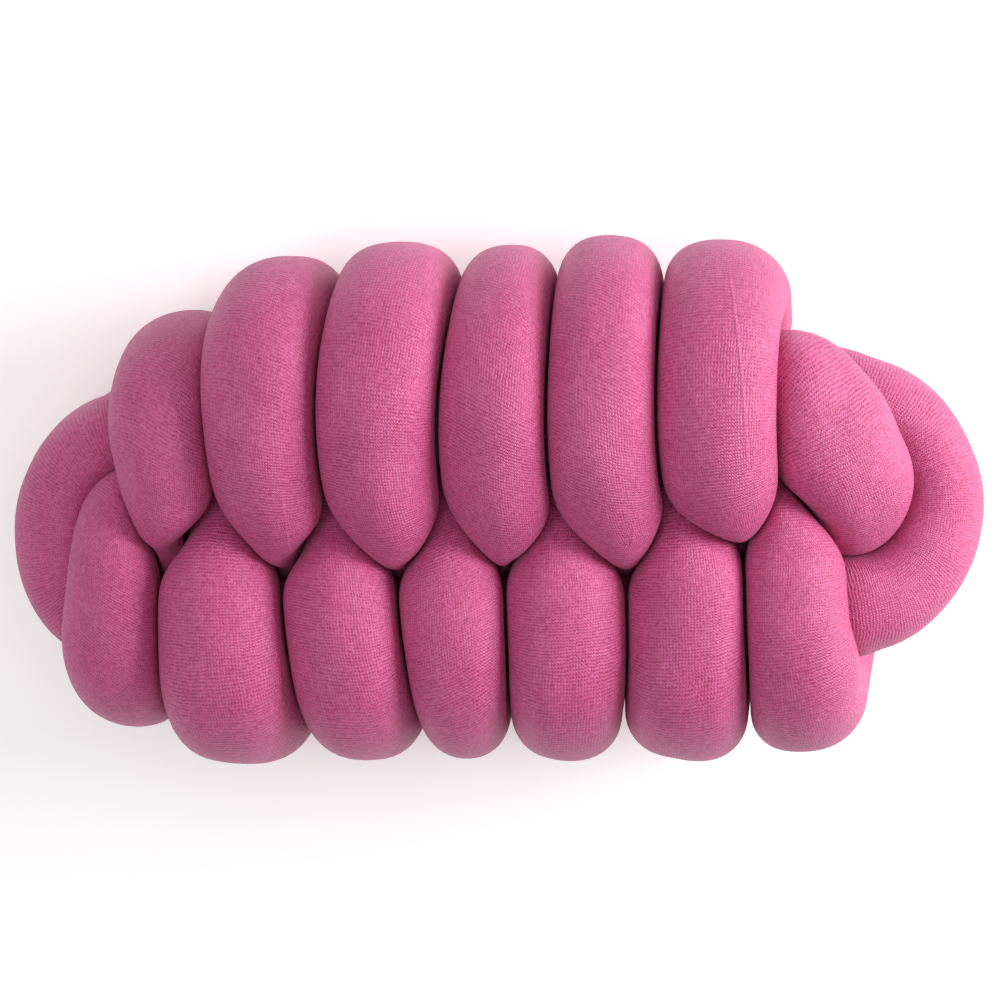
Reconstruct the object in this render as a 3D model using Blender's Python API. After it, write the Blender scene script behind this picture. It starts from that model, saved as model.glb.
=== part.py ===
"""Knot cushion: one long knitted tube, stuffed soft, laid in a ring and then laced over it.

The tube first makes a long flat ring. Its end comes out over the ring's right-hand bend and laces
back to the left in figures of eight, over one side of the ring and under the other, so that two
rows of fat lobes meet along the middle of the face. Where turns touch, the filling gives way and
both go flat against each other, with a hair's gap between them.

The cushion lies on its back. X runs along its length, Y towards the row of long lobes, and Z up
from the surface it lies on, through the middle of its face. The origin is on that surface.
"""

import math
from collections import namedtuple

import bmesh
import bpy
import numpy as np
from mathutils.bvhtree import BVHTree

MM = 0.001

# The tube
CONTACT_GAP = 0.0016      # air left between two turns that press on each other
ROUNDING = 0.6            # radius of the cloth beside a contact, as a share of the tube's own
ROUNDING_EASE = 0.03      # length over which that radius evens out
BEND_FLATTENING = 0.12    # how much wider, and how much less deep, the tube gets in a tight bend
MOST_SWELLING = 1.12      # how far a squeezed stretch swells where it is free
SWELLING_EASE = 0.075     # length over which that swelling evens out
THINNEST = 0.004          # least radius left to a squeezed stretch
FLOOR_PRESS = 6           # how far the filling gives where the back rests, in millimetres
END_TAPER = 0.030         # length over which each sewn end closes
END_SHARE = 0.3           # radius left at the sewn end itself, as a share
ROUTE_EASE = 0.006        # length over which the corners of the route are softened

# The mesh
SIDES = 16                # points round the tube
CORE_SIDES = 96           # directions in which the room inside the walls is measured
RING_STEP = 0.0154        # spacing of the rings of points along the tube
ROUTE_STEP = 0.002        # spacing of the points that the route is worked out with
OWN_STRETCH = 0.050       # length along the tube within which it can't press on itself
MOST_ROUNDS = 60          # of drawing in the points where two turns still cut each other
DRAW_IN = 0.96            # share of the radius that each round leaves there

# A place on the tube's middle line and its radius there, in millimetres.
Place = namedtuple("Place", "x y z radius")

# A bend of the ring: part of an ellipse, from one angle to another. Its height goes from
# start_z through middle_z to end_z. In millimetres and degrees.
Bend = namedtuple("Bend", "x y reach_x reach_y start end start_z middle_z end_z radius")
BEND_POINTS = 7
BEND_SQUARENESS = 0.88    # under 1, the ring's bends are fuller than an ellipse

# The ring, in the order in which the tube runs: the first end lies inside the long lobes.
FIRST_END = [Place(22, 46, 60, 24), Place(90, 45, 58, 27)]
RIGHT_BEND = Bend(168, -3, 54, 49, 90, -90, 54, 66, 88, 30)
LOWER_SIDE = [Place(60, -59, 76, 27), Place(-60, -59, 75, 27)]
LEFT_BEND = Bend(-181, -18, 44, 46, 270, 90, 74, 68, 66, 30)
UPPER_SIDE = [Place(-110, 44, 84, 27), Place(-20, 46, 94, 27), Place(60, 47, 97, 27)]

# From the ring's upper side over the right-hand bend and down behind it.
SHOULDER = [
    Place(110, 56, 98, 30),
    Place(134, 66, 104, 33),
    Place(150, 60, 113, 32),
    Place(164, 40, 118, 31),
    Place(175, 15, 107, 31),
    Place(178, -3, 80, 29),
]

# A lobe of the lacing: it rises from the back, turns over the edge, crosses the face and dives
# between its neighbours. row is 1 for a long lobe and -1 for a short one. The four x are where its
# middle line lies at the back, the edge, the face and the dive. core_y is the side of the ring
# that it goes round, edge_y and face_z are how far its outside reaches, and tip_y is where it
# dives. All in millimetres.
Lobe = namedtuple("Lobe", "name row back_x edge_x face_x tip_x core_y edge_y face_z tip_y radius")

LOBES = [
    Lobe("short_7", -1, 174, 160, 146, 146, -59, -134, 152, 12, 30),
    Lobe("long_6", 1, 120, 112, 106, 118, 46, 137, 170, 0, 32),
    Lobe("short_6", -1, 110, 99, 97, 92, -59, -138, 154, 11, 35),
    Lobe("long_5", 1, 67, 53, 48, 67, 46, 138, 170, -12, 32),
    Lobe("short_5", -1, 46, 32, 32, 29, -59, -137, 154, 11, 34),
    Lobe("long_4", 1, 14, 8, -2, 7, 46, 133, 169, -13, 31),
    Lobe("short_4", -1, -5, -16, -24, -30, -59, -136, 153, 8, 31),
    Lobe("long_3", 1, -40, -52, -63, -46, 46, 136, 170, -14, 33),
    Lobe("short_3", -1, -53, -63, -79, -86, -59, -137, 153, 6, 33),
    Lobe("long_2", 1, -96, -108, -118, -100, 44, 128, 164, -16, 32),
    Lobe("short_2", -1, -115, -132, -142, -142, -59, -140, 154, -1, 35),
    Lobe("long_1", 1, -146, -162, -167, -160, 33, 97, 148, -27, 27),
    Lobe("short_1", -1, -178, -188, -195, -188, -50, -121, 140, 12, 26),
]

# A lobe's angles round its side of the ring: -90 is the back, 0 the edge and 90 the face.
START, BACK, EDGE, FACE, END = -150, -90, 0, 90, 150
ANGLE_STEP = 20
FACE_SQUARENESS = 0.72    # under 1, the tube stays on the face for longer before it dives

# Share of the radius left as each kind of lobe comes and goes: at these angles, these shares.
LONG_NARROWING = [[START, -110, 60, 85, 105, 125, END], [0.7, 1, 1, 0.96, 0.86, 0.73, 0.6]]
SHORT_NARROWING = [[START, -110, 80, 105, 130, END], [0.7, 1, 1, 0.9, 0.75, 0.6]]

# The tube's second end, tucked in behind the left-hand bend.
TAIL = [Place(-182, 8, 84, 20), Place(-176, 4, 74, 18)]

CLOTH_COLOUR = (0.62, 0.10, 0.29, 1.0)
CLOTH_ROUGHNESS = 0.9


def clear_scene():
    for obj in list(bpy.data.objects):
        bpy.data.objects.remove(obj)


def smooth_curve(points, steps):
    """Points along a centripetal Catmull-Rom curve through the given ones."""
    points = np.asarray(points, float)
    before = 2 * points[0] - points[1]
    after = 2 * points[-1] - points[-2]
    held = np.vstack([before, points, after])
    knots = np.zeros(len(held))
    for i in range(1, len(held)):
        knots[i] = knots[i - 1] + np.linalg.norm(held[i] - held[i - 1]) ** 0.5
    curve = []
    for i in range(1, len(held) - 2):
        p0, p1, p2, p3 = held[i - 1:i + 3]
        t0, t1, t2, t3 = knots[i - 1:i + 3]
        t = np.linspace(t1, t2, steps, endpoint=False)[:, None]
        a1 = (t1 - t) / (t1 - t0) * p0 + (t - t0) / (t1 - t0) * p1
        a2 = (t2 - t) / (t2 - t1) * p1 + (t - t1) / (t2 - t1) * p2
        a3 = (t3 - t) / (t3 - t2) * p2 + (t - t2) / (t3 - t2) * p3
        b1 = (t2 - t) / (t2 - t0) * a1 + (t - t0) / (t2 - t0) * a2
        b2 = (t3 - t) / (t3 - t1) * a2 + (t - t1) / (t3 - t1) * a3
        curve.append((t2 - t) / (t2 - t1) * b1 + (t - t1) / (t2 - t1) * b2)
    return np.vstack(curve + [points[-1:]])


def spaced(line, step):
    """The same line with its points an even step apart."""
    run = np.r_[0, np.cumsum(np.linalg.norm(np.diff(line[:, :3], axis=0), axis=1))]
    at = np.linspace(0, run[-1], round(run[-1] / step) + 1)
    return np.stack([np.interp(at, run, column) for column in line.T], axis=1)


def eased(line, width):
    """The line with its corners softened over that many points, and its ends kept."""
    reach = math.ceil(3 * width)
    weights = np.exp(-0.5 * (np.arange(-reach, reach + 1) / width) ** 2)
    weights /= weights.sum()
    before = 2 * line[0] - line[reach:0:-1]
    after = 2 * line[-1] - line[-2:-reach - 2:-1]
    longer = np.vstack([before, line, after])
    return np.stack([np.convolve(column, weights, "valid") for column in longer.T], axis=1)


def squared(share, power):
    """A sine or cosine drawn nearer to 1 or -1, which makes a round path squarer."""
    return np.sign(share) * np.abs(share) ** power


def bend_points(bend):
    share = np.linspace(0, 1, BEND_POINTS)
    angle = np.radians(bend.start + share * (bend.end - bend.start))
    x = bend.x + bend.reach_x * squared(np.cos(angle), BEND_SQUARENESS)
    y = bend.y + bend.reach_y * squared(np.sin(angle), BEND_SQUARENESS)
    z = np.interp(share, [0, 0.5, 1], [bend.start_z, bend.middle_z, bend.end_z])
    return np.stack([x, y, z, np.full(BEND_POINTS, bend.radius)], axis=1)


def lobe_points(lobe):
    """Rows of x, y, z and radius along one lobe, in millimetres."""
    stations = [
        (START, lobe.back_x),
        (BACK, lobe.back_x),
        (EDGE, lobe.edge_x),
        (FACE, lobe.face_x),
        (END, lobe.tip_x),
    ]
    lean = smooth_curve(stations, 30)
    angles = np.arange(START, END + 1, ANGLE_STEP)
    x = np.interp(angles, lean[:, 0], lean[:, 1])

    turn = np.radians(angles)
    power = np.where(angles > FACE, FACE_SQUARENESS, 1)
    outwards = squared(np.cos(turn), power)
    upwards = squared(np.sin(turn), power)
    edge_reach = abs(lobe.edge_y - lobe.core_y) - lobe.radius
    dive_reach = abs(lobe.tip_y - lobe.core_y) / abs(outwards[-1])
    y = lobe.core_y + lobe.row * np.where(angles > FACE, dive_reach, edge_reach) * outwards

    lowest = lobe.radius - FLOOR_PRESS
    highest = lobe.face_z - lobe.radius
    z = (lowest + highest) / 2 + (highest - lowest) / 2 * upwards

    narrowing = LONG_NARROWING if lobe.row > 0 else SHORT_NARROWING
    radius = lobe.radius * np.interp(angles, *narrowing)
    return np.stack([x, y, z, radius], axis=1)


def tube_route():
    """Rows of x, y, z and radius along the whole tube's middle line, in metres."""
    stretches = [FIRST_END, bend_points(RIGHT_BEND), LOWER_SIDE, bend_points(LEFT_BEND)]
    stretches += [UPPER_SIDE, SHOULDER]
    stretches += [lobe_points(lobe) for lobe in LOBES]
    stretches.append(TAIL)
    line = smooth_curve(np.vstack(stretches) * MM, 12)
    line = spaced(line, ROUTE_STEP)
    line = eased(line, ROUTE_EASE / ROUTE_STEP)
    return spaced(line, ROUTE_STEP)


def unit(rows):
    return rows / np.maximum(np.linalg.norm(rows, axis=-1, keepdims=True), 1e-9)


def ray_directions(along, count):
    """For each ring, directions all round from its middle, turned as little as can be."""
    side = np.empty_like(along)
    carried = np.array([0.0, 0.0, 1.0])
    for i, forward in enumerate(along):
        carried = unit(carried - forward * (carried @ forward))
        side[i] = carried
    up = np.cross(along, side)
    turn = 2 * math.pi * np.arange(count) / count
    return side[:, None] * np.cos(turn)[:, None] + up[:, None] * np.sin(turn)[:, None]


def walls_round(line, at):
    """The walls that the stretch at one point of the route shares with all the others.

    Each stands half-way between the two middle lines, or nearer to the thinner turn. The tube's
    own stretch near the point counts too, and keeps the inside of a bend from folding. Gives the
    way to each other point, and its wall's place along that way, times the way's length.
    """
    middle, radius = line[:, :3], line[:, 3]
    run = np.arange(len(line)) * ROUTE_STEP
    apart = middle - middle[at]
    distance_squared = (apart ** 2).sum(axis=1)
    another = np.clip(np.abs(run - run[at]) / OWN_STRETCH - 1, 0, 1)
    lead = radius[at] ** 2 - radius ** 2 - CONTACT_GAP * np.sqrt(distance_squared)
    return apart, (distance_squared + another * lead) / 2


def room_along(rays, apart, wall):
    """How far out along each ray the nearest wall is."""
    towards = rays @ apart.T
    faces_it = towards > 1e-7
    return np.where(faces_it, wall / np.where(faces_it, towards, 1), np.inf).min(axis=1)


def least_evened(values, window):
    """The values evened out along the tube, and nowhere more than they were."""
    longer = np.pad(values, window - 1, mode="edge")
    least = np.lib.stride_tricks.sliding_window_view(longer, window).min(axis=1)
    return np.convolve(least, np.full(window, 1 / window), "valid")


def circle_reach(core, rounding):
    """How far out a circle reaches to each side while its middle moves about in the core."""
    side = 2 * math.pi * np.arange(SIDES) / SIDES
    apart = side[:, None] - 2 * math.pi * np.arange(CORE_SIDES) / CORE_SIDES
    half_squared = rounding ** 2 - (core * np.sin(apart)) ** 2
    reach = core * np.cos(apart) + np.sqrt(np.maximum(half_squared, 0))
    return np.where(half_squared >= 0, reach, 0).max(axis=1)


def pressed_reach(free, rounding, rays, forward, apart, wall):
    """How far out the cloth lies to each side of one ring.

    Beside a contact the cloth turns away in an arc. So the ring's outline is all that a circle
    can cover inside the walls, and the circle's middle stays in a core that far within them.
    """
    across = np.linalg.norm(apart - np.outer(apart @ forward, forward), axis=1)
    core = room_along(rays, apart, np.maximum(wall - rounding * across, 0))
    free_side = np.arange(SIDES) / SIDES
    core_side = np.arange(CORE_SIDES) / CORE_SIDES
    free_core = np.interp(core_side, free_side, free, period=1) - rounding
    return circle_reach(np.clip(core, 0, np.maximum(free_core, 0)), rounding)


def swollen(free, room):
    """The free radius, made larger where the tube is squeezed and its filling is pushed along."""
    squeezed = (free ** 2).mean(axis=1) / (np.minimum(free, room) ** 2).mean(axis=1)
    swelling = np.clip(np.sqrt(squeezed), 1, MOST_SWELLING)
    window = 2 * round(SWELLING_EASE / RING_STEP / 2) + 1
    longer = np.pad(swelling, window // 2, mode="edge")
    return free * np.convolve(longer, np.full(window, 1 / window), "valid")[:, None]


def end_closing(run):
    """Share of the radius along the tube: its two ends close in a round over END_TAPER."""
    from_end = np.minimum(run, run[::-1])
    open_share = np.clip(from_end / END_TAPER, 0, 1)
    return END_SHARE + (1 - END_SHARE) * np.sqrt(1 - (1 - open_share) ** 2)


def stuffed_shape():
    """The rings' middles, the rays to their points, and how far out along them the cloth lies."""
    line = tube_route()
    run = np.arange(len(line)) * ROUTE_STEP
    along = unit(np.gradient(line[:, :3], axis=0))
    bending = np.gradient(along, axis=0) / ROUTE_STEP
    count = round(run[-1] / RING_STEP) + 1
    rings = np.round(np.linspace(0, len(line) - 1, count)).astype(int)
    rays = ray_directions(along[rings], SIDES)
    core_rays = ray_directions(along[rings], CORE_SIDES)

    radius = line[rings, 3] * end_closing(run)[rings]
    tightness = np.clip(np.linalg.norm(bending[rings], axis=1) * radius, 0, 1)
    inwards = np.einsum("ijk,ik->ij", rays, unit(bending[rings]))
    flattening = BEND_FLATTENING * tightness[:, None] * (1 - 2 * inwards ** 2)
    free = radius[:, None] * (1 + flattening)

    walls = [walls_round(line, at) for at in rings]
    room = np.array([room_along(ring, *wall) for ring, wall in zip(rays, walls)])
    room = np.maximum(room, THINNEST)
    free = swollen(free, room)
    rounding = np.minimum(ROUNDING * free.mean(axis=1), room.min(axis=1))
    rounding = least_evened(rounding, 2 * round(ROUNDING_EASE / RING_STEP / 2) + 1)
    pieces = zip(free, rounding, core_rays, along[rings], walls)
    reach = np.array([pressed_reach(*piece, *wall) for *piece, wall in pieces])
    return line[rings, :3], rays, reach


def cloth_points(middle, rays, reach):
    """Where the cloth's points lie: none goes below the surface that the back rests on."""
    points = middle[:, None] + rays * reach[..., None]
    points[..., 2] = np.maximum(points[..., 2], 0)
    return points.reshape(-1, 3)


def tube_faces(count):
    """Triangles over all the rings, and over the two closed ends."""
    triangles = []
    for ring in range(count - 1):
        for side in range(SIDES):
            a = ring * SIDES + side
            b = ring * SIDES + (side + 1) % SIDES
            triangles += [(a, b, b + SIDES), (a, b + SIDES, a + SIDES)]
    last = (count - 1) * SIDES
    for side in range(1, SIDES - 1):
        triangles.append((0, side + 1, side))
        triangles.append((last, last + side, last + side + 1))
    return triangles


def clear_of_each_other(middle, rays, reach):
    """The reach, drawn in step by step wherever two turns of the coarse mesh still cut."""
    triangles = tube_faces(len(middle))
    for _ in range(MOST_ROUNDS):
        tree = BVHTree.FromPolygons(cloth_points(middle, rays, reach).tolist(), triangles)
        cutting = set()
        for one, other in tree.overlap(tree):
            if not set(triangles[one]) & set(triangles[other]):
                cutting.update(triangles[one] + triangles[other])
        if not cutting:
            break
        reach.flat[sorted(cutting)] *= DRAW_IN
    return reach


def cloth_material():
    material = bpy.data.materials.new("pink_jersey")
    material.use_nodes = True
    shader = material.node_tree.nodes["Principled BSDF"]
    shader.inputs["Base Color"].default_value = CLOTH_COLOUR
    shader.inputs["Roughness"].default_value = CLOTH_ROUGHNESS
    shader.inputs["Metallic"].default_value = 0.0
    return material


def add_stuffed_tube():
    middle, rays, reach = stuffed_shape()
    reach = clear_of_each_other(middle, rays, reach)
    mesh = bmesh.new()
    vertices = [mesh.verts.new(point) for point in cloth_points(middle, rays, reach)]
    for triangle in tube_faces(len(middle)):
        mesh.faces.new([vertices[corner] for corner in triangle])
    data = bpy.data.meshes.new("stuffed_tube")
    mesh.to_mesh(data)
    mesh.free()
    data.shade_smooth()
    data.materials.append(cloth_material())
    tube = bpy.data.objects.new("stuffed_tube", data)
    bpy.context.scene.collection.objects.link(tube)


def main():
    clear_scene()
    add_stuffed_tube()


main()
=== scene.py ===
"""Knot cushion: the finished look of the stuffed, knitted tube, laid in a ring and laced over it.

The tube's way through the knot and its pressed shape are worked out as for the solid, with many
more points, and the cloth then gets its stuffing's unevenness, its pressed folds and its knit.
"""

import math
from collections import namedtuple

import bpy
import numpy as np
from mathutils import Matrix, Vector, noise
from mathutils.bvhtree import BVHTree


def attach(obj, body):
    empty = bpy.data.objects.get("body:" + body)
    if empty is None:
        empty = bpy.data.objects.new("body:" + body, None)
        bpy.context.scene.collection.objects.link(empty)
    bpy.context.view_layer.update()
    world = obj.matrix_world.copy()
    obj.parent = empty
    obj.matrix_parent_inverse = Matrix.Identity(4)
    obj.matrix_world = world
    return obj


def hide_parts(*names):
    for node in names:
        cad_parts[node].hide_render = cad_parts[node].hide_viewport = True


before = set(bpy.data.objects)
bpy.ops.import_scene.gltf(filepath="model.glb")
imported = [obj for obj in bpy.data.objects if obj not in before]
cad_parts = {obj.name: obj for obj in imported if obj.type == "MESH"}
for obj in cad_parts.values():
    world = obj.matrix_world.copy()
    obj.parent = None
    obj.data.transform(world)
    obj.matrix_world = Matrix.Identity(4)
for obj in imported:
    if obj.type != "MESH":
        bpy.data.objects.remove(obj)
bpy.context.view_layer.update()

MM = 0.001
WHITE = (1.0, 1.0, 1.0, 1.0)
LEAST_LENGTH = 1e-9       # a shorter way has no direction
LEAST_TOWARDS = 1e-7      # a wall less far ahead than this isn't ahead

# The tube
CONTACT_GAP = 0.0016      # air left between two turns that press on each other
ROUNDING = 0.6            # radius of the cloth beside a contact, as a share of the tube's own
ROUNDING_EASE = 0.03      # length over which that radius evens out
BEND_FLATTENING = 0.12    # how much wider, and how much less deep, the tube gets in a tight bend
MOST_SWELLING = 1.12      # how far a squeezed stretch swells where it is free
SWELLING_EASE = 0.075     # length over which that swelling evens out
THINNEST = 0.004          # least radius left to a squeezed stretch
FLOOR_PRESS = 6           # how far the filling gives where the back rests, in millimetres
END_TAPER = 0.030         # length over which each sewn end closes
END_SHARE = 0.3           # radius left at the sewn end itself, as a share
ROUTE_EASE = 0.006        # length over which the corners of the route are softened
OWN_STRETCH = 0.050       # length along the tube within which it can't press on itself
ROUTE_POINTS = 12         # points of the route's curve between two given places

# The mesh
SIDES = 60                # points round the tube
CORE_SIDES = 180          # directions in which the room inside the walls is measured
ROUTE_STEP = 0.00175      # spacing of the points that the route is worked out with
RING_EVERY = 2            # every so many of those points carries a ring of the mesh
RING_STEP = RING_EVERY * ROUTE_STEP
MOST_ROUNDS = 20          # of drawing in the points where two turns still cut each other
DRAW_IN = 0.95            # share of the radius that each round leaves there
MUCH_THICKER = 2          # a turn this many times as thick as the one it cuts isn't drawn in

# A place on the tube's middle line and its radius there, in millimetres.
Place = namedtuple("Place", "x y z radius")

# A bend of the ring: part of an ellipse, from one angle to another. Its height goes from
# start_z through middle_z to end_z. In millimetres and degrees.
Bend = namedtuple("Bend", "x y reach_x reach_y start end start_z middle_z end_z radius")
BEND_POINTS = 7
BEND_SQUARENESS = 0.88    # under 1, the ring's bends are fuller than an ellipse

# The ring, in the order in which the tube runs: the first end lies inside the long lobes.
FIRST_END = [Place(22, 46, 60, 24), Place(90, 45, 58, 27)]
RIGHT_BEND = Bend(168, -3, 54, 49, 90, -90, 54, 66, 88, 30)
LOWER_SIDE = [Place(60, -59, 76, 27), Place(-60, -59, 75, 27)]
LEFT_BEND = Bend(-181, -18, 44, 46, 270, 90, 74, 68, 66, 30)
UPPER_SIDE = [Place(-110, 44, 84, 27), Place(-20, 46, 94, 27), Place(60, 47, 97, 27)]

# From the ring's upper side over the right-hand bend and down behind it.
SHOULDER = [
    Place(110, 56, 98, 30),
    Place(134, 66, 104, 33),
    Place(150, 60, 113, 32),
    Place(164, 40, 118, 31),
    Place(175, 15, 107, 31),
    Place(178, -3, 80, 29),
]

# A lobe of the lacing: it rises from the back, turns over the edge, crosses the face and dives
# between its neighbours. row is 1 for a long lobe and -1 for a short one. The four x are where its
# middle line lies at the back, the edge, the face and the dive. core_y is the side of the ring
# that it goes round, edge_y and face_z are how far its outside reaches, and tip_y is where it
# dives. All in millimetres.
Lobe = namedtuple("Lobe", "name row back_x edge_x face_x tip_x core_y edge_y face_z tip_y radius")

LOBES = [
    Lobe("short_7", -1, 174, 160, 146, 146, -59, -134, 152, 12, 30),
    Lobe("long_6", 1, 120, 112, 106, 118, 46, 137, 170, 0, 32),
    Lobe("short_6", -1, 110, 99, 97, 92, -59, -138, 154, 11, 35),
    Lobe("long_5", 1, 67, 53, 48, 67, 46, 138, 170, -12, 32),
    Lobe("short_5", -1, 46, 32, 32, 29, -59, -137, 154, 11, 34),
    Lobe("long_4", 1, 14, 8, -2, 7, 46, 133, 169, -13, 31),
    Lobe("short_4", -1, -5, -16, -24, -30, -59, -136, 153, 8, 31),
    Lobe("long_3", 1, -40, -52, -63, -46, 46, 136, 170, -14, 33),
    Lobe("short_3", -1, -53, -63, -79, -86, -59, -137, 153, 6, 33),
    Lobe("long_2", 1, -96, -108, -118, -100, 44, 128, 164, -16, 32),
    Lobe("short_2", -1, -115, -132, -142, -142, -59, -140, 154, -1, 35),
    Lobe("long_1", 1, -146, -162, -167, -160, 33, 97, 148, -27, 27),
    Lobe("short_1", -1, -178, -188, -195, -188, -50, -121, 140, 12, 26),
]

# A lobe's angles round its side of the ring: -90 is the back, 0 the edge and 90 the face.
START, BACK, EDGE, FACE, END = -150, -90, 0, 90, 150
ANGLE_STEP = 20
LEAN_POINTS = 30          # points of the curve of its x between two of those angles
FACE_SQUARENESS = 0.72    # under 1, the tube stays on the face for longer before it dives

# Share of the radius left as each kind of lobe comes and goes: at these angles, these shares.
LONG_NARROWING = [[START, -110, 60, 85, 105, 125, END], [0.7, 1, 1, 0.96, 0.86, 0.73, 0.6]]
SHORT_NARROWING = [[START, -110, 80, 105, 130, END], [0.7, 1, 1, 0.9, 0.75, 0.6]]

# How far the rows of stitches fall to the right on the face of each lobe, in degrees. The cloth is
# laid with a twist that differs from lobe to lobe.
ROW_FALL = {
    "short_7": -15,
    "long_6": -6,
    "short_6": -9,
    "long_5": 27,
    "short_5": -4,
    "long_4": 31,
    "short_4": -32,
    "long_3": 6,
    "short_3": 2,
    "long_2": 16,
    "short_2": -4,
    "long_1": 29,
    "short_1": 42,
}
TWIST_EASE = 0.15         # length of tube before the first lobe over which its twist begins

# A fold pressed into the face of a lobe: a straight line from one place to another, seen from
# above. In millimetres.
Fold = namedtuple("Fold", "lobe start_x start_y end_x end_y")
FOLDS = [
    Fold("long_6", 112.6, 133, 121.2, 33),
    Fold("long_5", 69, 48, 64.8, -8),
    Fold("long_2", -107.4, 18, -104.4, -18),
]
FOLD_WIDTH = 0.0012
FOLDS_SHOW_ABOVE = 0.09   # height over which they lie; the backs of the lobes have none
NO_FOLD = (9.0, -1.0)     # a place on the folds' map that is clear of every fold
FOLD_FADE = 0.2           # share of its half length over which a fold fades out at each end

# The tube's second end, tucked in behind the left-hand bend.
TAIL = [Place(-182, 8, 84, 20), Place(-176, 4, 74, 18)]

# The stuffing: how far apart its lumps and dents are, and how far they lift the cloth
LUMP_SIZE = 0.045
LUMP_HEIGHT = 0.0008
DENT_SIZE = 0.014
DENT_HEIGHT = 0.00018

# The knit
WALES = 140               # columns of stitches round the tube
ROW = 0.00125             # spacing of the rows of stitches along its middle line
ROW_STRETCH = 1.6         # how far the rows part on the outside of a lobe
LEG_LEAN = 0.7            # rows that the leg of a stitch would climb across a whole wale
KNIT_MAP = "knit"
FOLD_MAP = "folds"

# Unevenness: how many patches of it there are to a metre, how finely they are broken up, and how
# far it goes.
Uneven = namedtuple("Uneven", "per_metre detail amount")
ROWS_PULLED = [Uneven(60.0, 2.0, 1.6), Uneven(260.0, 1.0, 0.8)]     # in rows
WALES_PULLED = [Uneven(85.0, 2.0, 1.2), Uneven(290.0, 1.0, 0.6)]    # in wales
ROWS_SHOW = Uneven(30.0, 1.0, 1.4)      # how far the rows show, and not the wales
LEAST_ROWS_SHOW = 0.5
MOST_ROWS_SHOW = 0.95

# How far each of these takes the yarn from the deep to the lit pink
FIBRES = Uneven(1100.0, 2.0, 0.9)
SLUBS = Uneven(430.0, 2.0, 0.5)
DYE = Uneven(38.0, 3.0, 0.3)
# painted shade in the gaps between stitches and painted highlight on their tops, from the knit's
# relief
RELIEF_PAINTED_SHADE = 0.6
HEATHER_TONE = 0.28
# painted highlight along the raised ridge of each fold
FOLD_PAINTED_HIGHLIGHT = 0.1
DEEP_PINK = (0.4, 0.01, 0.1, 1.0)
LIT_PINK = (0.73, 0.134, 0.345, 1.0)

# How deep the knit is, and how much of that each of these makes up
KNIT_RELIEF = 0.0005
RELIEF_HEIGHT = 0.6
HEATHER_HEIGHT = 0.15
FIBRE_HEIGHT = 0.8
FOLD_HEIGHT = 0.7

CLOTH_ROUGHNESS = 0.52
CLOTH_GLOSS = 0.7
SHEEN = 0.12
SHEEN_ROUGHNESS = 0.45
SHEEN_TINT = (0.9, 0.75, 1.0, 1.0)

# The sockets of a Mix node that mixes colours
MIX_FACTOR, MIX_FIRST, MIX_SECOND, MIX_RESULT = 0, 6, 7, 2

# The photograph's view: straight down on the face, tipped a little towards the long lobes
VIEW_TILT = math.radians(12)
VIEW_DISTANCE = 1.6
VIEW_CENTRE = Vector((0, 0, 0.078))
VIEW_LENS = 111           # in millimetres, as the width of the camera's sensor is
SENSOR = 36

# A square lamp of the studio: its angles round from X and up from level, its distance, size and
# power
Lamp = namedtuple("Lamp", "name round_from_x up distance size power")
LAMPS = [
    Lamp("key_light", 15, 20, 2.0, 1.0, 47),
    Lamp("left_light", 180, 62, 2.0, 1.0, 10),
    Lamp("top_light", 90, 75, 2.0, 1.4, 8),
]
ROOM_LIGHT = 0.29

# The floor glows a little, as a photographer's lit table does
FLOOR_SIZE = 14
FLOOR_WHITE = (0.94, 0.94, 0.94, 1.0)
FLOOR_ROUGHNESS = 0.7
FLOOR_GLOW = 0.24


def smooth_curve(points, steps):
    """Points along a centripetal Catmull-Rom curve through the given ones."""
    points = np.asarray(points, float)
    before = 2 * points[0] - points[1]
    after = 2 * points[-1] - points[-2]
    held = np.vstack([before, points, after])
    knots = np.zeros(len(held))
    for i in range(1, len(held)):
        knots[i] = knots[i - 1] + np.linalg.norm(held[i] - held[i - 1]) ** 0.5
    curve = []
    for i in range(1, len(held) - 2):
        p0, p1, p2, p3 = held[i - 1:i + 3]
        t0, t1, t2, t3 = knots[i - 1:i + 3]
        t = np.linspace(t1, t2, steps, endpoint=False)[:, None]
        a1 = (t1 - t) / (t1 - t0) * p0 + (t - t0) / (t1 - t0) * p1
        a2 = (t2 - t) / (t2 - t1) * p1 + (t - t1) / (t2 - t1) * p2
        a3 = (t3 - t) / (t3 - t2) * p2 + (t - t2) / (t3 - t2) * p3
        b1 = (t2 - t) / (t2 - t0) * a1 + (t - t0) / (t2 - t0) * a2
        b2 = (t3 - t) / (t3 - t1) * a2 + (t - t1) / (t3 - t1) * a3
        curve.append((t2 - t) / (t2 - t1) * b1 + (t - t1) / (t2 - t1) * b2)
    return np.vstack(curve + [points[-1:]])


def spaced(line, step):
    """The same line with its points an even step apart."""
    run = np.r_[0, np.cumsum(np.linalg.norm(np.diff(line[:, :3], axis=0), axis=1))]
    at = np.linspace(0, run[-1], round(run[-1] / step) + 1)
    return np.stack([np.interp(at, run, column) for column in line.T], axis=1)


def eased(line, width):
    """The line with its corners softened over that many points, and its ends kept."""
    reach = math.ceil(3 * width)
    weights = np.exp(-0.5 * (np.arange(-reach, reach + 1) / width) ** 2)
    weights /= weights.sum()
    before = 2 * line[0] - line[reach:0:-1]
    after = 2 * line[-1] - line[-2:-reach - 2:-1]
    longer = np.vstack([before, line, after])
    return np.stack([np.convolve(column, weights, "valid") for column in longer.T], axis=1)


def squared(share, power):
    """A sine or cosine drawn nearer to 1 or -1, which makes a round path squarer."""
    return np.sign(share) * np.abs(share) ** power


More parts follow.
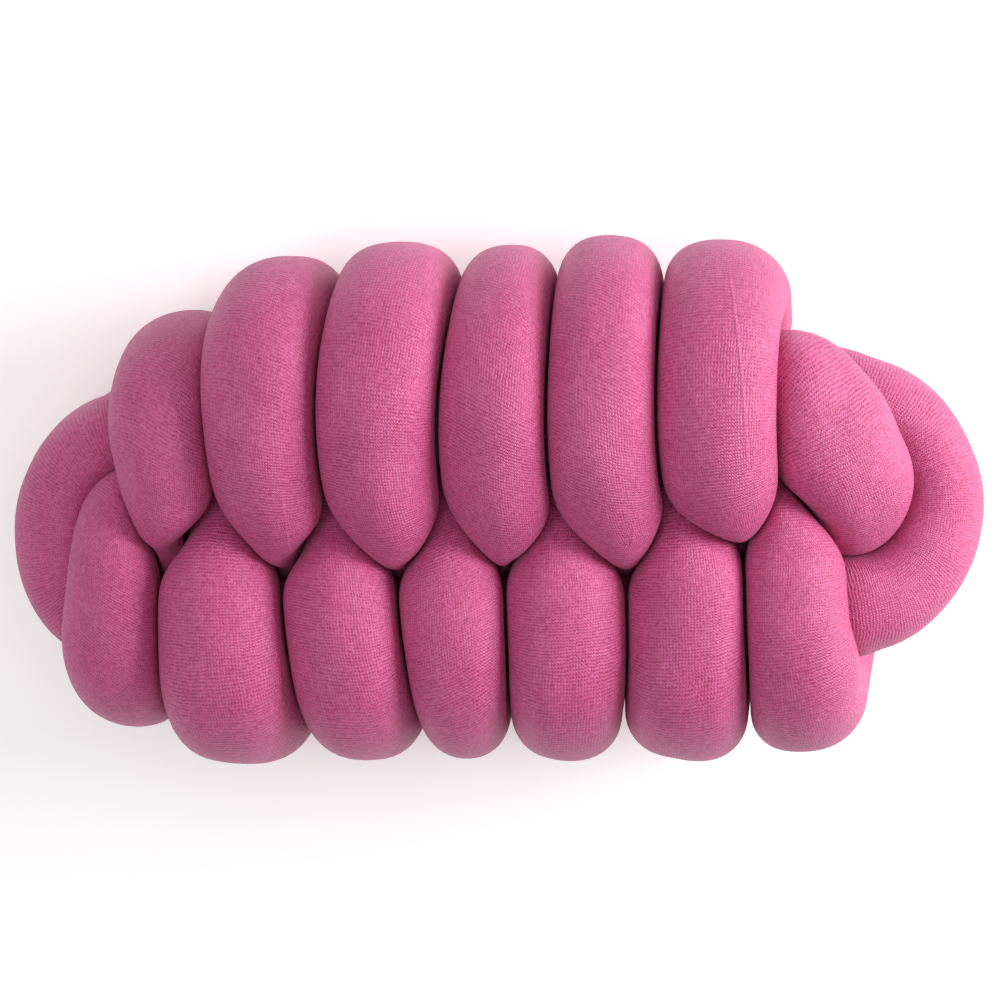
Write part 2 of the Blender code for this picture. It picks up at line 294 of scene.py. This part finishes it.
def bend_points(bend):
    """Rows of x, y, z and radius along one bend of the ring, in millimetres."""
    share = np.linspace(0, 1, BEND_POINTS)
    angle = np.radians(bend.start + share * (bend.end - bend.start))
    x = bend.x + bend.reach_x * squared(np.cos(angle), BEND_SQUARENESS)
    y = bend.y + bend.reach_y * squared(np.sin(angle), BEND_SQUARENESS)
    z = np.interp(share, [0, 0.5, 1], [bend.start_z, bend.middle_z, bend.end_z])
    return np.stack([x, y, z, np.full(BEND_POINTS, bend.radius)], axis=1)


def lobe_points(lobe):
    """Rows of x, y, z and radius along one lobe, in millimetres."""
    stations = [
        (START, lobe.back_x),
        (BACK, lobe.back_x),
        (EDGE, lobe.edge_x),
        (FACE, lobe.face_x),
        (END, lobe.tip_x),
    ]
    lean = smooth_curve(stations, LEAN_POINTS)
    angles = np.arange(START, END + 1, ANGLE_STEP)
    x = np.interp(angles, lean[:, 0], lean[:, 1])

    turn = np.radians(angles)
    power = np.where(angles > FACE, FACE_SQUARENESS, 1)
    outwards = squared(np.cos(turn), power)
    upwards = squared(np.sin(turn), power)
    edge_reach = abs(lobe.edge_y - lobe.core_y) - lobe.radius
    dive_reach = abs(lobe.tip_y - lobe.core_y) / abs(outwards[-1])
    y = lobe.core_y + lobe.row * np.where(angles > FACE, dive_reach, edge_reach) * outwards

    lowest = lobe.radius - FLOOR_PRESS
    highest = lobe.face_z - lobe.radius
    z = (lowest + highest) / 2 + (highest - lowest) / 2 * upwards

    narrowing = LONG_NARROWING if lobe.row > 0 else SHORT_NARROWING
    radius = lobe.radius * np.interp(angles, *narrowing)
    return np.stack([x, y, z, radius], axis=1)


def tube_route():
    """Rows of x, y, z and radius along the whole tube's middle line, in metres."""
    stretches = [FIRST_END, bend_points(RIGHT_BEND), LOWER_SIDE, bend_points(LEFT_BEND)]
    stretches += [UPPER_SIDE, SHOULDER]
    stretches += [lobe_points(lobe) for lobe in LOBES]
    stretches.append(TAIL)
    line = smooth_curve(np.vstack(stretches) * MM, ROUTE_POINTS)
    line = spaced(line, ROUTE_STEP)
    line = eased(line, ROUTE_EASE / ROUTE_STEP)
    return spaced(line, ROUTE_STEP)


def unit(rows):
    """The rows made one long, so that they only give directions."""
    return rows / np.maximum(np.linalg.norm(rows, axis=-1, keepdims=True), LEAST_LENGTH)


def ray_directions(along, count):
    """For each ring, directions all round from its middle, turned as little as can be."""
    side = np.empty_like(along)
    carried = np.array([0.0, 0.0, 1.0])
    for i, forward in enumerate(along):
        carried = unit(carried - forward * (carried @ forward))
        side[i] = carried
    up = np.cross(along, side)
    turn = 2 * math.pi * np.arange(count) / count
    return side[:, None] * np.cos(turn)[:, None] + up[:, None] * np.sin(turn)[:, None]


def walls_round(line, at):
    """The walls that the stretch at one point of the route shares with all the others.

    Each stands half-way between the two middle lines, or nearer to the thinner turn. The tube's
    own stretch near the point counts too, and keeps the inside of a bend from folding. Gives the
    way to each other point, and its wall's place along that way, times the way's length.
    """
    middle, radius = line[:, :3], line[:, 3]
    run = np.arange(len(line)) * ROUTE_STEP
    apart = middle - middle[at]
    distance_squared = (apart ** 2).sum(axis=1)
    another = np.clip(np.abs(run - run[at]) / OWN_STRETCH - 1, 0, 1)
    lead = radius[at] ** 2 - radius ** 2 - CONTACT_GAP * np.sqrt(distance_squared)
    return apart, (distance_squared + another * lead) / 2


def room_along(rays, apart, wall):
    """How far out along each ray the nearest wall is."""
    towards = rays @ apart.T
    faces_it = towards > LEAST_TOWARDS
    return np.where(faces_it, wall / np.where(faces_it, towards, 1), np.inf).min(axis=1)


def odd_count(length):
    """How many rings lie on that length of the tube, made odd."""
    return 2 * round(length / RING_STEP / 2) + 1


def least_evened(values, window):
    """The values evened out along the tube, and nowhere more than they were."""
    longer = np.pad(values, window - 1, mode="edge")
    least = np.lib.stride_tricks.sliding_window_view(longer, window).min(axis=1)
    return np.convolve(least, np.full(window, 1 / window), "valid")


def circle_reach(core, rounding):
    """How far out a circle reaches to each side while its middle moves about in the core."""
    side = 2 * math.pi * np.arange(SIDES) / SIDES
    apart = side[:, None] - 2 * math.pi * np.arange(CORE_SIDES) / CORE_SIDES
    half_squared = rounding ** 2 - (core * np.sin(apart)) ** 2
    reach = core * np.cos(apart) + np.sqrt(np.maximum(half_squared, 0))
    return np.where(half_squared >= 0, reach, 0).max(axis=1)


def pressed_reach(free, rounding, rays, forward, apart, wall):
    """How far out the cloth lies to each side of one ring.

    Beside a contact the cloth turns away in an arc. So the ring's outline is all that a circle
    can cover inside the walls, and the circle's middle stays in a core that far within them.
    """
    across = np.linalg.norm(apart - np.outer(apart @ forward, forward), axis=1)
    core = room_along(rays, apart, np.maximum(wall - rounding * across, 0))
    free_side = np.arange(SIDES) / SIDES
    core_side = np.arange(CORE_SIDES) / CORE_SIDES
    free_core = np.interp(core_side, free_side, free, period=1) - rounding
    return circle_reach(np.clip(core, 0, np.maximum(free_core, 0)), rounding)


def swollen(free, room):
    """The free radius, made larger where the tube is squeezed and its filling is pushed along."""
    squeezed = (free ** 2).mean(axis=1) / (np.minimum(free, room) ** 2).mean(axis=1)
    swelling = np.clip(np.sqrt(squeezed), 1, MOST_SWELLING)
    window = odd_count(SWELLING_EASE)
    longer = np.pad(swelling, window // 2, mode="edge")
    return free * np.convolve(longer, np.full(window, 1 / window), "valid")[:, None]


def end_closing(run):
    """Share of the radius along the tube: its two ends close in a round over END_TAPER."""
    from_end = np.minimum(run, run[::-1])
    open_share = np.clip(from_end / END_TAPER, 0, 1)
    return END_SHARE + (1 - END_SHARE) * np.sqrt(1 - (1 - open_share) ** 2)


def lumps(points):
    """How far the uneven stuffing lifts the cloth at each point."""
    lifted = np.empty(len(points))
    for i, point in enumerate(points):
        place = Vector(point)
        lifted[i] = LUMP_HEIGHT * noise.noise(place / LUMP_SIZE)
        lifted[i] += DENT_HEIGHT * noise.noise(place / DENT_SIZE)
    return lifted


def evened(reach):
    """The reach with the finest ripples taken out, round the tube and then twice along it."""
    reach = reach / 2 + (np.roll(reach, -1, axis=1) + np.roll(reach, 1, axis=1)) / 4
    for shift in (1, 2):
        longer = np.pad(reach, ((shift, shift), (0, 0)), mode="edge")
        reach = reach / 2 + (longer[2 * shift:] + longer[:-2 * shift]) / 4
    return reach


def stuffed_shape():
    """The rings' middles, the rays to their points, and how far out along them the cloth lies."""
    line = tube_route()
    run = np.arange(len(line)) * ROUTE_STEP
    along = unit(np.gradient(line[:, :3], axis=0))
    bending = np.gradient(along, axis=0) / ROUTE_STEP
    rings = np.arange(0, len(line), RING_EVERY)
    rays = ray_directions(along[rings], SIDES)
    core_rays = ray_directions(along[rings], CORE_SIDES)

    radius = line[rings, 3] * end_closing(run)[rings]
    tightness = np.clip(np.linalg.norm(bending[rings], axis=1) * radius, 0, 1)
    inwards = np.einsum("ijk,ik->ij", rays, unit(bending[rings]))
    flattening = BEND_FLATTENING * tightness[:, None] * (1 - 2 * inwards ** 2)
    free = radius[:, None] * (1 + flattening)
    round_points = line[rings, None, :3] + rays * free[..., None]
    free += lumps(round_points.reshape(-1, 3)).reshape(free.shape)

    walls = [walls_round(line, at) for at in rings]
    room = np.array([room_along(ring, *wall) for ring, wall in zip(rays, walls)])
    room = np.maximum(room, THINNEST)
    free = swollen(free, room)
    rounding = np.minimum(ROUNDING * free.mean(axis=1), room.min(axis=1))
    rounding = least_evened(rounding, odd_count(ROUNDING_EASE))
    pieces = zip(free, rounding, core_rays, along[rings], walls)
    reach = np.array([pressed_reach(*piece, *wall) for *piece, wall in pieces])
    return line[rings, :3], rays, np.minimum(reach, evened(reach))


def cloth_points(middle, rays, reach):
    """Where the cloth's points lie: none goes below the surface that the back rests on."""
    points = middle[:, None] + rays * reach[..., None]
    points[..., 2] = np.maximum(points[..., 2], 0)
    return points.reshape(-1, 3)


def ring_quads(count):
    """The quads between the rings, as point numbers."""
    ring, side = np.mgrid[0:count - 1, 0:SIDES]
    a = ring * SIDES + side
    b = ring * SIDES + (side + 1) % SIDES
    return np.stack([a, b, b + SIDES, a + SIDES], axis=-1).reshape(-1, 4)


def least_near(share):
    """The least share among each point and those near it: one to each side and two along."""
    least = share.copy()
    for shift in (-1, 1):
        least = np.minimum(least, np.roll(share, shift, axis=1))
    wider = least.copy()
    for shift in (-2, -1, 1, 2):
        wider = np.minimum(wider, np.roll(least, shift, axis=0))
    return wider


def clear_of_each_other(middle, rays, reach):
    """The reach, drawn in step by step and softly wherever two turns of the mesh still cut.

    Where a thin stretch cuts a much thicker one, only the thin one is drawn in.
    """
    corners = ring_quads(len(middle))
    quads = [tuple(quad) for quad in corners.tolist()]
    drawn = np.ones_like(reach)
    for _ in range(MOST_ROUNDS):
        share = np.minimum(drawn, evened(least_near(drawn)))
        points = cloth_points(middle, rays, reach * share)
        tree = BVHTree.FromPolygons(points.tolist(), quads)
        size = (reach * share).ravel()[corners].mean(axis=1)
        cutting = set()
        for one, other in tree.overlap(tree):
            gives_way = size[one] < MUCH_THICKER * size[other]
            if gives_way and not set(quads[one]) & set(quads[other]):
                cutting.update(quads[one])
        if not cutting:
            break
        drawn.flat[sorted(cutting)] *= DRAW_IN
    return reach * share


def nearest_ring(middle, x, y, z):
    """The number of the ring whose middle is nearest to a place in millimetres."""
    return np.linalg.norm(middle - np.array([x, y, z]) * MM, axis=1).argmin()


def lobe_of_each_ring(middle):
    """The number in LOBES of the lobe that each ring belongs to."""
    edge_rings = []
    for lobe in LOBES:
        edge_y = lobe.edge_y - lobe.row * lobe.radius
        edge_rings.append(nearest_ring(middle, lobe.edge_x, edge_y, lobe.face_z / 2))
    return np.abs(np.arange(len(middle))[:, None] - edge_rings).argmin(axis=1)


def fold_places(points, lobe_at):
    """How far across a fold each point lies, in widths, and how far along it, from 0 to 1."""
    places = np.full(points.shape[:2] + (2,), NO_FOLD)
    names = [lobe.name for lobe in LOBES]
    x, y, z = np.moveaxis(points, -1, 0)
    for fold in FOLDS:
        along = (y / MM - fold.start_y) / (fold.end_y - fold.start_y)
        across = x - (fold.start_x + along * (fold.end_x - fold.start_x)) * MM
        on_face = (lobe_at[:, None] == names.index(fold.lobe)) & (z > FOLDS_SHOW_ABOVE)
        places[on_face, 0] = across[on_face] / FOLD_WIDTH
        places[on_face, 1] = along[on_face]
    return places


def twist_shift(middle, rays, reach, lobe_at):
    """How many rows the twist of the cloth shifts the stitches by, at each point of each ring."""
    along = unit(np.gradient(middle, axis=0))
    face_rings, lean = [], []
    for lobe in LOBES:
        face_z = lobe.face_z - lobe.radius
        face_rings.append(nearest_ring(middle, lobe.face_x, lobe.core_y, face_z))
        ahead = along[face_rings[-1]]
        untwisted = math.atan2(ahead[0], abs(ahead[1])) * np.sign(ahead[1])
        lean.append(math.tan(math.radians(ROW_FALL[lobe.name]) - untwisted))
    rings = np.arange(len(middle))
    begins = face_rings[0] - TWIST_EASE / RING_STEP
    slope = np.interp(rings, [begins] + face_rings, [0] + lean)

    turns_round = np.array([(lobe.core_y, lobe.face_z / 2) for lobe in LOBES])[lobe_at] * MM
    outwards = middle.copy()
    outwards[:, 0] = 0
    outwards[:, 1:] -= turns_round
    sideways = unit(np.cross(along, outwards))
    shift = np.einsum("ijk,ik->ij", rays, sideways) * reach.mean(axis=1, keepdims=True)
    return shift * slope[:, None] / (ROW * ROW_STRETCH)


def lay_map(mesh, name, u, v):
    """A map on the mesh. Its u and v have a value for each corner of the quads between rings."""
    laid = np.stack([u, v], axis=-1).reshape(-1, 2)
    ends = np.tile(laid[:1], (2 * SIDES, 1))
    layer = mesh.uv_layers.new(name=name)
    layer.uv.foreach_set("vector", np.vstack([laid, ends]).astype(np.float32).ravel())


def quad_corners(rows):
    """A value for each point of each ring, as values for the four corners of each quad."""
    next_side = np.roll(rows, -1, axis=1)
    return np.stack([rows[:-1], next_side[:-1], next_side[1:], rows[1:]], axis=-1)


def tube_mesh():
    """The tube's mesh, with the knit's map, of rows of stitches and wales, and the folds' map."""
    middle, rays, reach = stuffed_shape()
    reach = clear_of_each_other(middle, rays, reach)
    count = len(middle)
    quads = ring_quads(count)
    first_cap = list(range(SIDES))[::-1]
    last_cap = [(count - 1) * SIDES + side for side in range(SIDES)]

    mesh = bpy.data.meshes.new("knitted_tube")
    faces = quads.tolist() + [first_cap, last_cap]
    points = cloth_points(middle, rays, reach)
    mesh.from_pydata(points.tolist(), [], faces)

    lobe_at = lobe_of_each_ring(middle)
    rows = np.arange(count)[:, None] * RING_STEP / ROW
    rows = rows + twist_shift(middle, rays, reach, lobe_at)
    wales = np.broadcast_to(np.arange(SIDES) * WALES / SIDES, (count - 1, SIDES))
    wales_on = wales + WALES / SIDES
    wale_corners = np.stack([wales, wales_on, wales_on, wales], axis=-1)
    lay_map(mesh, KNIT_MAP, quad_corners(rows), wale_corners)
    folds = fold_places(points.reshape(count, SIDES, 3), lobe_at)
    lay_map(mesh, FOLD_MAP, quad_corners(folds[..., 0]), quad_corners(folds[..., 1]))
    mesh.validate()
    mesh.shade_smooth()
    return mesh


class Yarn:
    """A value in a material, with which the material's sums can be written out."""

    def __init__(self, tree, socket=None):
        self.tree = tree
        self.socket = socket

    def node(self, kind, settings=None, inputs=None, output=0):
        """Any node: its settings are set first, then the values or links of its sockets."""
        made = self.tree.nodes.new(kind)
        for name, setting in (settings or {}).items():
            setattr(made, name, setting)
        for name, value in (inputs or {}).items():
            if isinstance(value, Yarn):
                self.tree.links.new(value.socket, made.inputs[name])
            else:
                made.inputs[name].default_value = value
        return None if output is None else Yarn(self.tree, made.outputs[output])

    def noise(self, place, uneven):
        inputs = {"Vector": place, "Scale": uneven.per_metre, "Detail": uneven.detail}
        return self.node("ShaderNodeTexNoise", inputs=inputs)

    def axis(self, name):
        return self.node("ShaderNodeSeparateXYZ", inputs={"Vector": self}, output=name)

    def sum(self, operation, *values):
        return self.node("ShaderNodeMath", {"operation": operation}, dict(enumerate(values)))

    def size(self):
        return self.sum("ABSOLUTE", self)

    def between(self, least, most):
        return self.sum("MINIMUM", self.sum("MAXIMUM", self, least), most)

    def ridges(self):
        """Ridges from 0 to 1 that are highest at each whole number."""
        return self.sum("COSINE", self * (2 * math.pi)) * 0.5 + 0.5

    def __add__(self, other):
        return self.sum("ADD", self, other)

    def __sub__(self, other):
        return self.sum("SUBTRACT", self, other)

    def __rsub__(self, other):
        return self.sum("SUBTRACT", other, self)

    def __mul__(self, other):
        return self.sum("MULTIPLY", self, other)

    __radd__ = __add__
    __rmul__ = __mul__


def fold_ridge(yarn):
    """How far the folds lift the cloth, from 0 to 1."""
    folds = yarn.node("ShaderNodeUVMap", {"uv_map": FOLD_MAP})
    across = (1 - folds.axis("X").size()).between(0, 1)
    from_ends = (1 - (folds.axis("Y") * 2 - 1).size()).between(0, 1)
    return across * (from_ends * (1 / FOLD_FADE)).between(0, 1)


def jersey_material():
    """Deep pink jersey: rows of stitches across the tube, wales along it, and a heathered yarn."""
    material = bpy.data.materials.new("pink_jersey")
    material.use_nodes = True
    tree = material.node_tree
    tree.nodes.clear()
    yarn = Yarn(tree)

    place = yarn.node("ShaderNodeTexCoord", output="Object")
    knit = yarn.node("ShaderNodeUVMap", {"uv_map": KNIT_MAP})
    rows = knit.axis("X")
    for pull in ROWS_PULLED:
        rows = rows + yarn.noise(place, pull) * pull.amount
    wales = knit.axis("Y")
    for pull in WALES_PULLED:
        wales = wales + yarn.noise(place, pull) * pull.amount

    # The legs of the stitches lean away from the middle of their wale.
    across_wale = yarn.sum("FRACT", wales) - 0.5
    rows = rows - across_wale.size() * LEG_LEAN
    rows_show = yarn.noise(place, ROWS_SHOW) * ROWS_SHOW.amount
    rows_show = rows_show.between(LEAST_ROWS_SHOW, MOST_ROWS_SHOW)
    relief = rows.ridges() * rows_show + across_wale.ridges() * (1 - rows_show)

    # The heathered yarn is a little lighter or darker from stitch to stitch.
    stitch = yarn.node("ShaderNodeCombineXYZ", inputs={
        "X": yarn.sum("FLOOR", rows),
        "Y": yarn.sum("FLOOR", wales),
    })
    heather = yarn.node("ShaderNodeTexWhiteNoise", {"noise_dimensions": "2D"}, {"Vector": stitch})
    fibres = yarn.noise(place, FIBRES)
    slubs = yarn.noise(place, SLUBS)
    dye = yarn.noise(place, DYE)
    ridge = fold_ridge(yarn)

    # The relief paints shade into the stitches' gaps and light onto their tops; heather, fibres,
    # slubs and dye are the yarn's own tone
    light = 0.5 + (relief - 0.5) * RELIEF_PAINTED_SHADE + (heather - 0.5) * HEATHER_TONE
    light = light + (fibres - 0.5) * FIBRES.amount + (slubs - 0.5) * SLUBS.amount
    # each fold's ridge gets a painted highlight
    light = light + (dye - 0.5) * DYE.amount + ridge * FOLD_PAINTED_HIGHLIGHT
    colour = yarn.node("ShaderNodeMix", {"data_type": "RGBA"}, {
        MIX_FACTOR: light,
        MIX_FIRST: DEEP_PINK,
        MIX_SECOND: LIT_PINK,
    }, MIX_RESULT)
    height = relief * RELIEF_HEIGHT + heather * HEATHER_HEIGHT
    height = height + (fibres - 0.5) * FIBRE_HEIGHT + ridge * FOLD_HEIGHT
    bump = yarn.node("ShaderNodeBump", inputs={
        "Strength": 1.0,
        "Distance": KNIT_RELIEF,
        "Height": height,
    })
    shader = yarn.node("ShaderNodeBsdfPrincipled", inputs={
        "Base Color": colour,
        "Roughness": CLOTH_ROUGHNESS,
        "Specular IOR Level": CLOTH_GLOSS,
        "Sheen Weight": SHEEN,
        "Sheen Roughness": SHEEN_ROUGHNESS,
        "Sheen Tint": SHEEN_TINT,
        "Normal": bump,
    })
    yarn.node("ShaderNodeOutputMaterial", inputs={"Surface": shader}, output=None)
    return material


def knitted_tube():
    """The one piece, which takes the solid's place."""
    tube = bpy.data.objects.new("knitted_tube", tube_mesh())
    bpy.context.scene.collection.objects.link(tube)
    tube.data.materials.append(jersey_material())
    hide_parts("stuffed_tube")
    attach(tube, "root")


def pale_floor():
    material = bpy.data.materials.new("pale_floor")
    material.use_nodes = True
    shader = material.node_tree.nodes["Principled BSDF"]
    shader.inputs["Base Color"].default_value = FLOOR_WHITE
    shader.inputs["Roughness"].default_value = FLOOR_ROUGHNESS
    shader.inputs["Emission Color"].default_value = WHITE
    shader.inputs["Emission Strength"].default_value = FLOOR_GLOW

    bpy.ops.object.select_all(action="DESELECT")
    bpy.ops.mesh.primitive_plane_add(size=FLOOR_SIZE, location=(0, 0, 0))
    floor = bpy.context.object
    floor.name = "pale_floor"
    floor.data.materials.append(material)


def soft_light(lamp):
    """One lamp, turned to face the cushion."""
    turn = math.radians(lamp.round_from_x)
    rise = math.radians(lamp.up)
    level = math.cos(rise)
    away = Vector((math.cos(turn) * level, math.sin(turn) * level, math.sin(rise)))
    light = bpy.data.lights.new(lamp.name, "AREA")
    light.size = lamp.size
    light.energy = lamp.power
    holder = bpy.data.objects.new(lamp.name, light)
    bpy.context.scene.collection.objects.link(holder)
    holder.location = VIEW_CENTRE + away * lamp.distance
    holder.rotation_euler = away.to_track_quat("Z", "Y").to_euler()


def room_light():
    """Even light from all round, and colours shown as they are."""
    world = bpy.data.worlds.new("room_light")
    world.use_nodes = True
    background = world.node_tree.nodes["Background"]
    background.inputs["Color"].default_value = WHITE
    background.inputs["Strength"].default_value = ROOM_LIGHT
    bpy.context.scene.world = world
    bpy.context.scene.view_settings.view_transform = "Standard"


def photo_camera():
    """The camera looks down on the face, from a little way towards the long lobes."""
    backwards = Vector((0, math.sin(VIEW_TILT), math.cos(VIEW_TILT)))
    upwards = Vector((0, math.cos(VIEW_TILT), -math.sin(VIEW_TILT)))
    rightwards = upwards.cross(backwards)
    turned = Matrix((rightwards, upwards, backwards)).transposed().to_4x4()
    camera = bpy.data.objects.new("photo_camera", bpy.data.cameras.new("photo_camera"))
    camera.data.sensor_width = SENSOR
    camera.data.lens = VIEW_LENS
    camera.matrix_world = Matrix.Translation(VIEW_CENTRE + backwards * VIEW_DISTANCE) @ turned
    bpy.context.scene.collection.objects.link(camera)
    bpy.context.scene.camera = camera


knitted_tube()
pale_floor()
for each_lamp in LAMPS:
    soft_light(each_lamp)
room_light()
photo_camera()
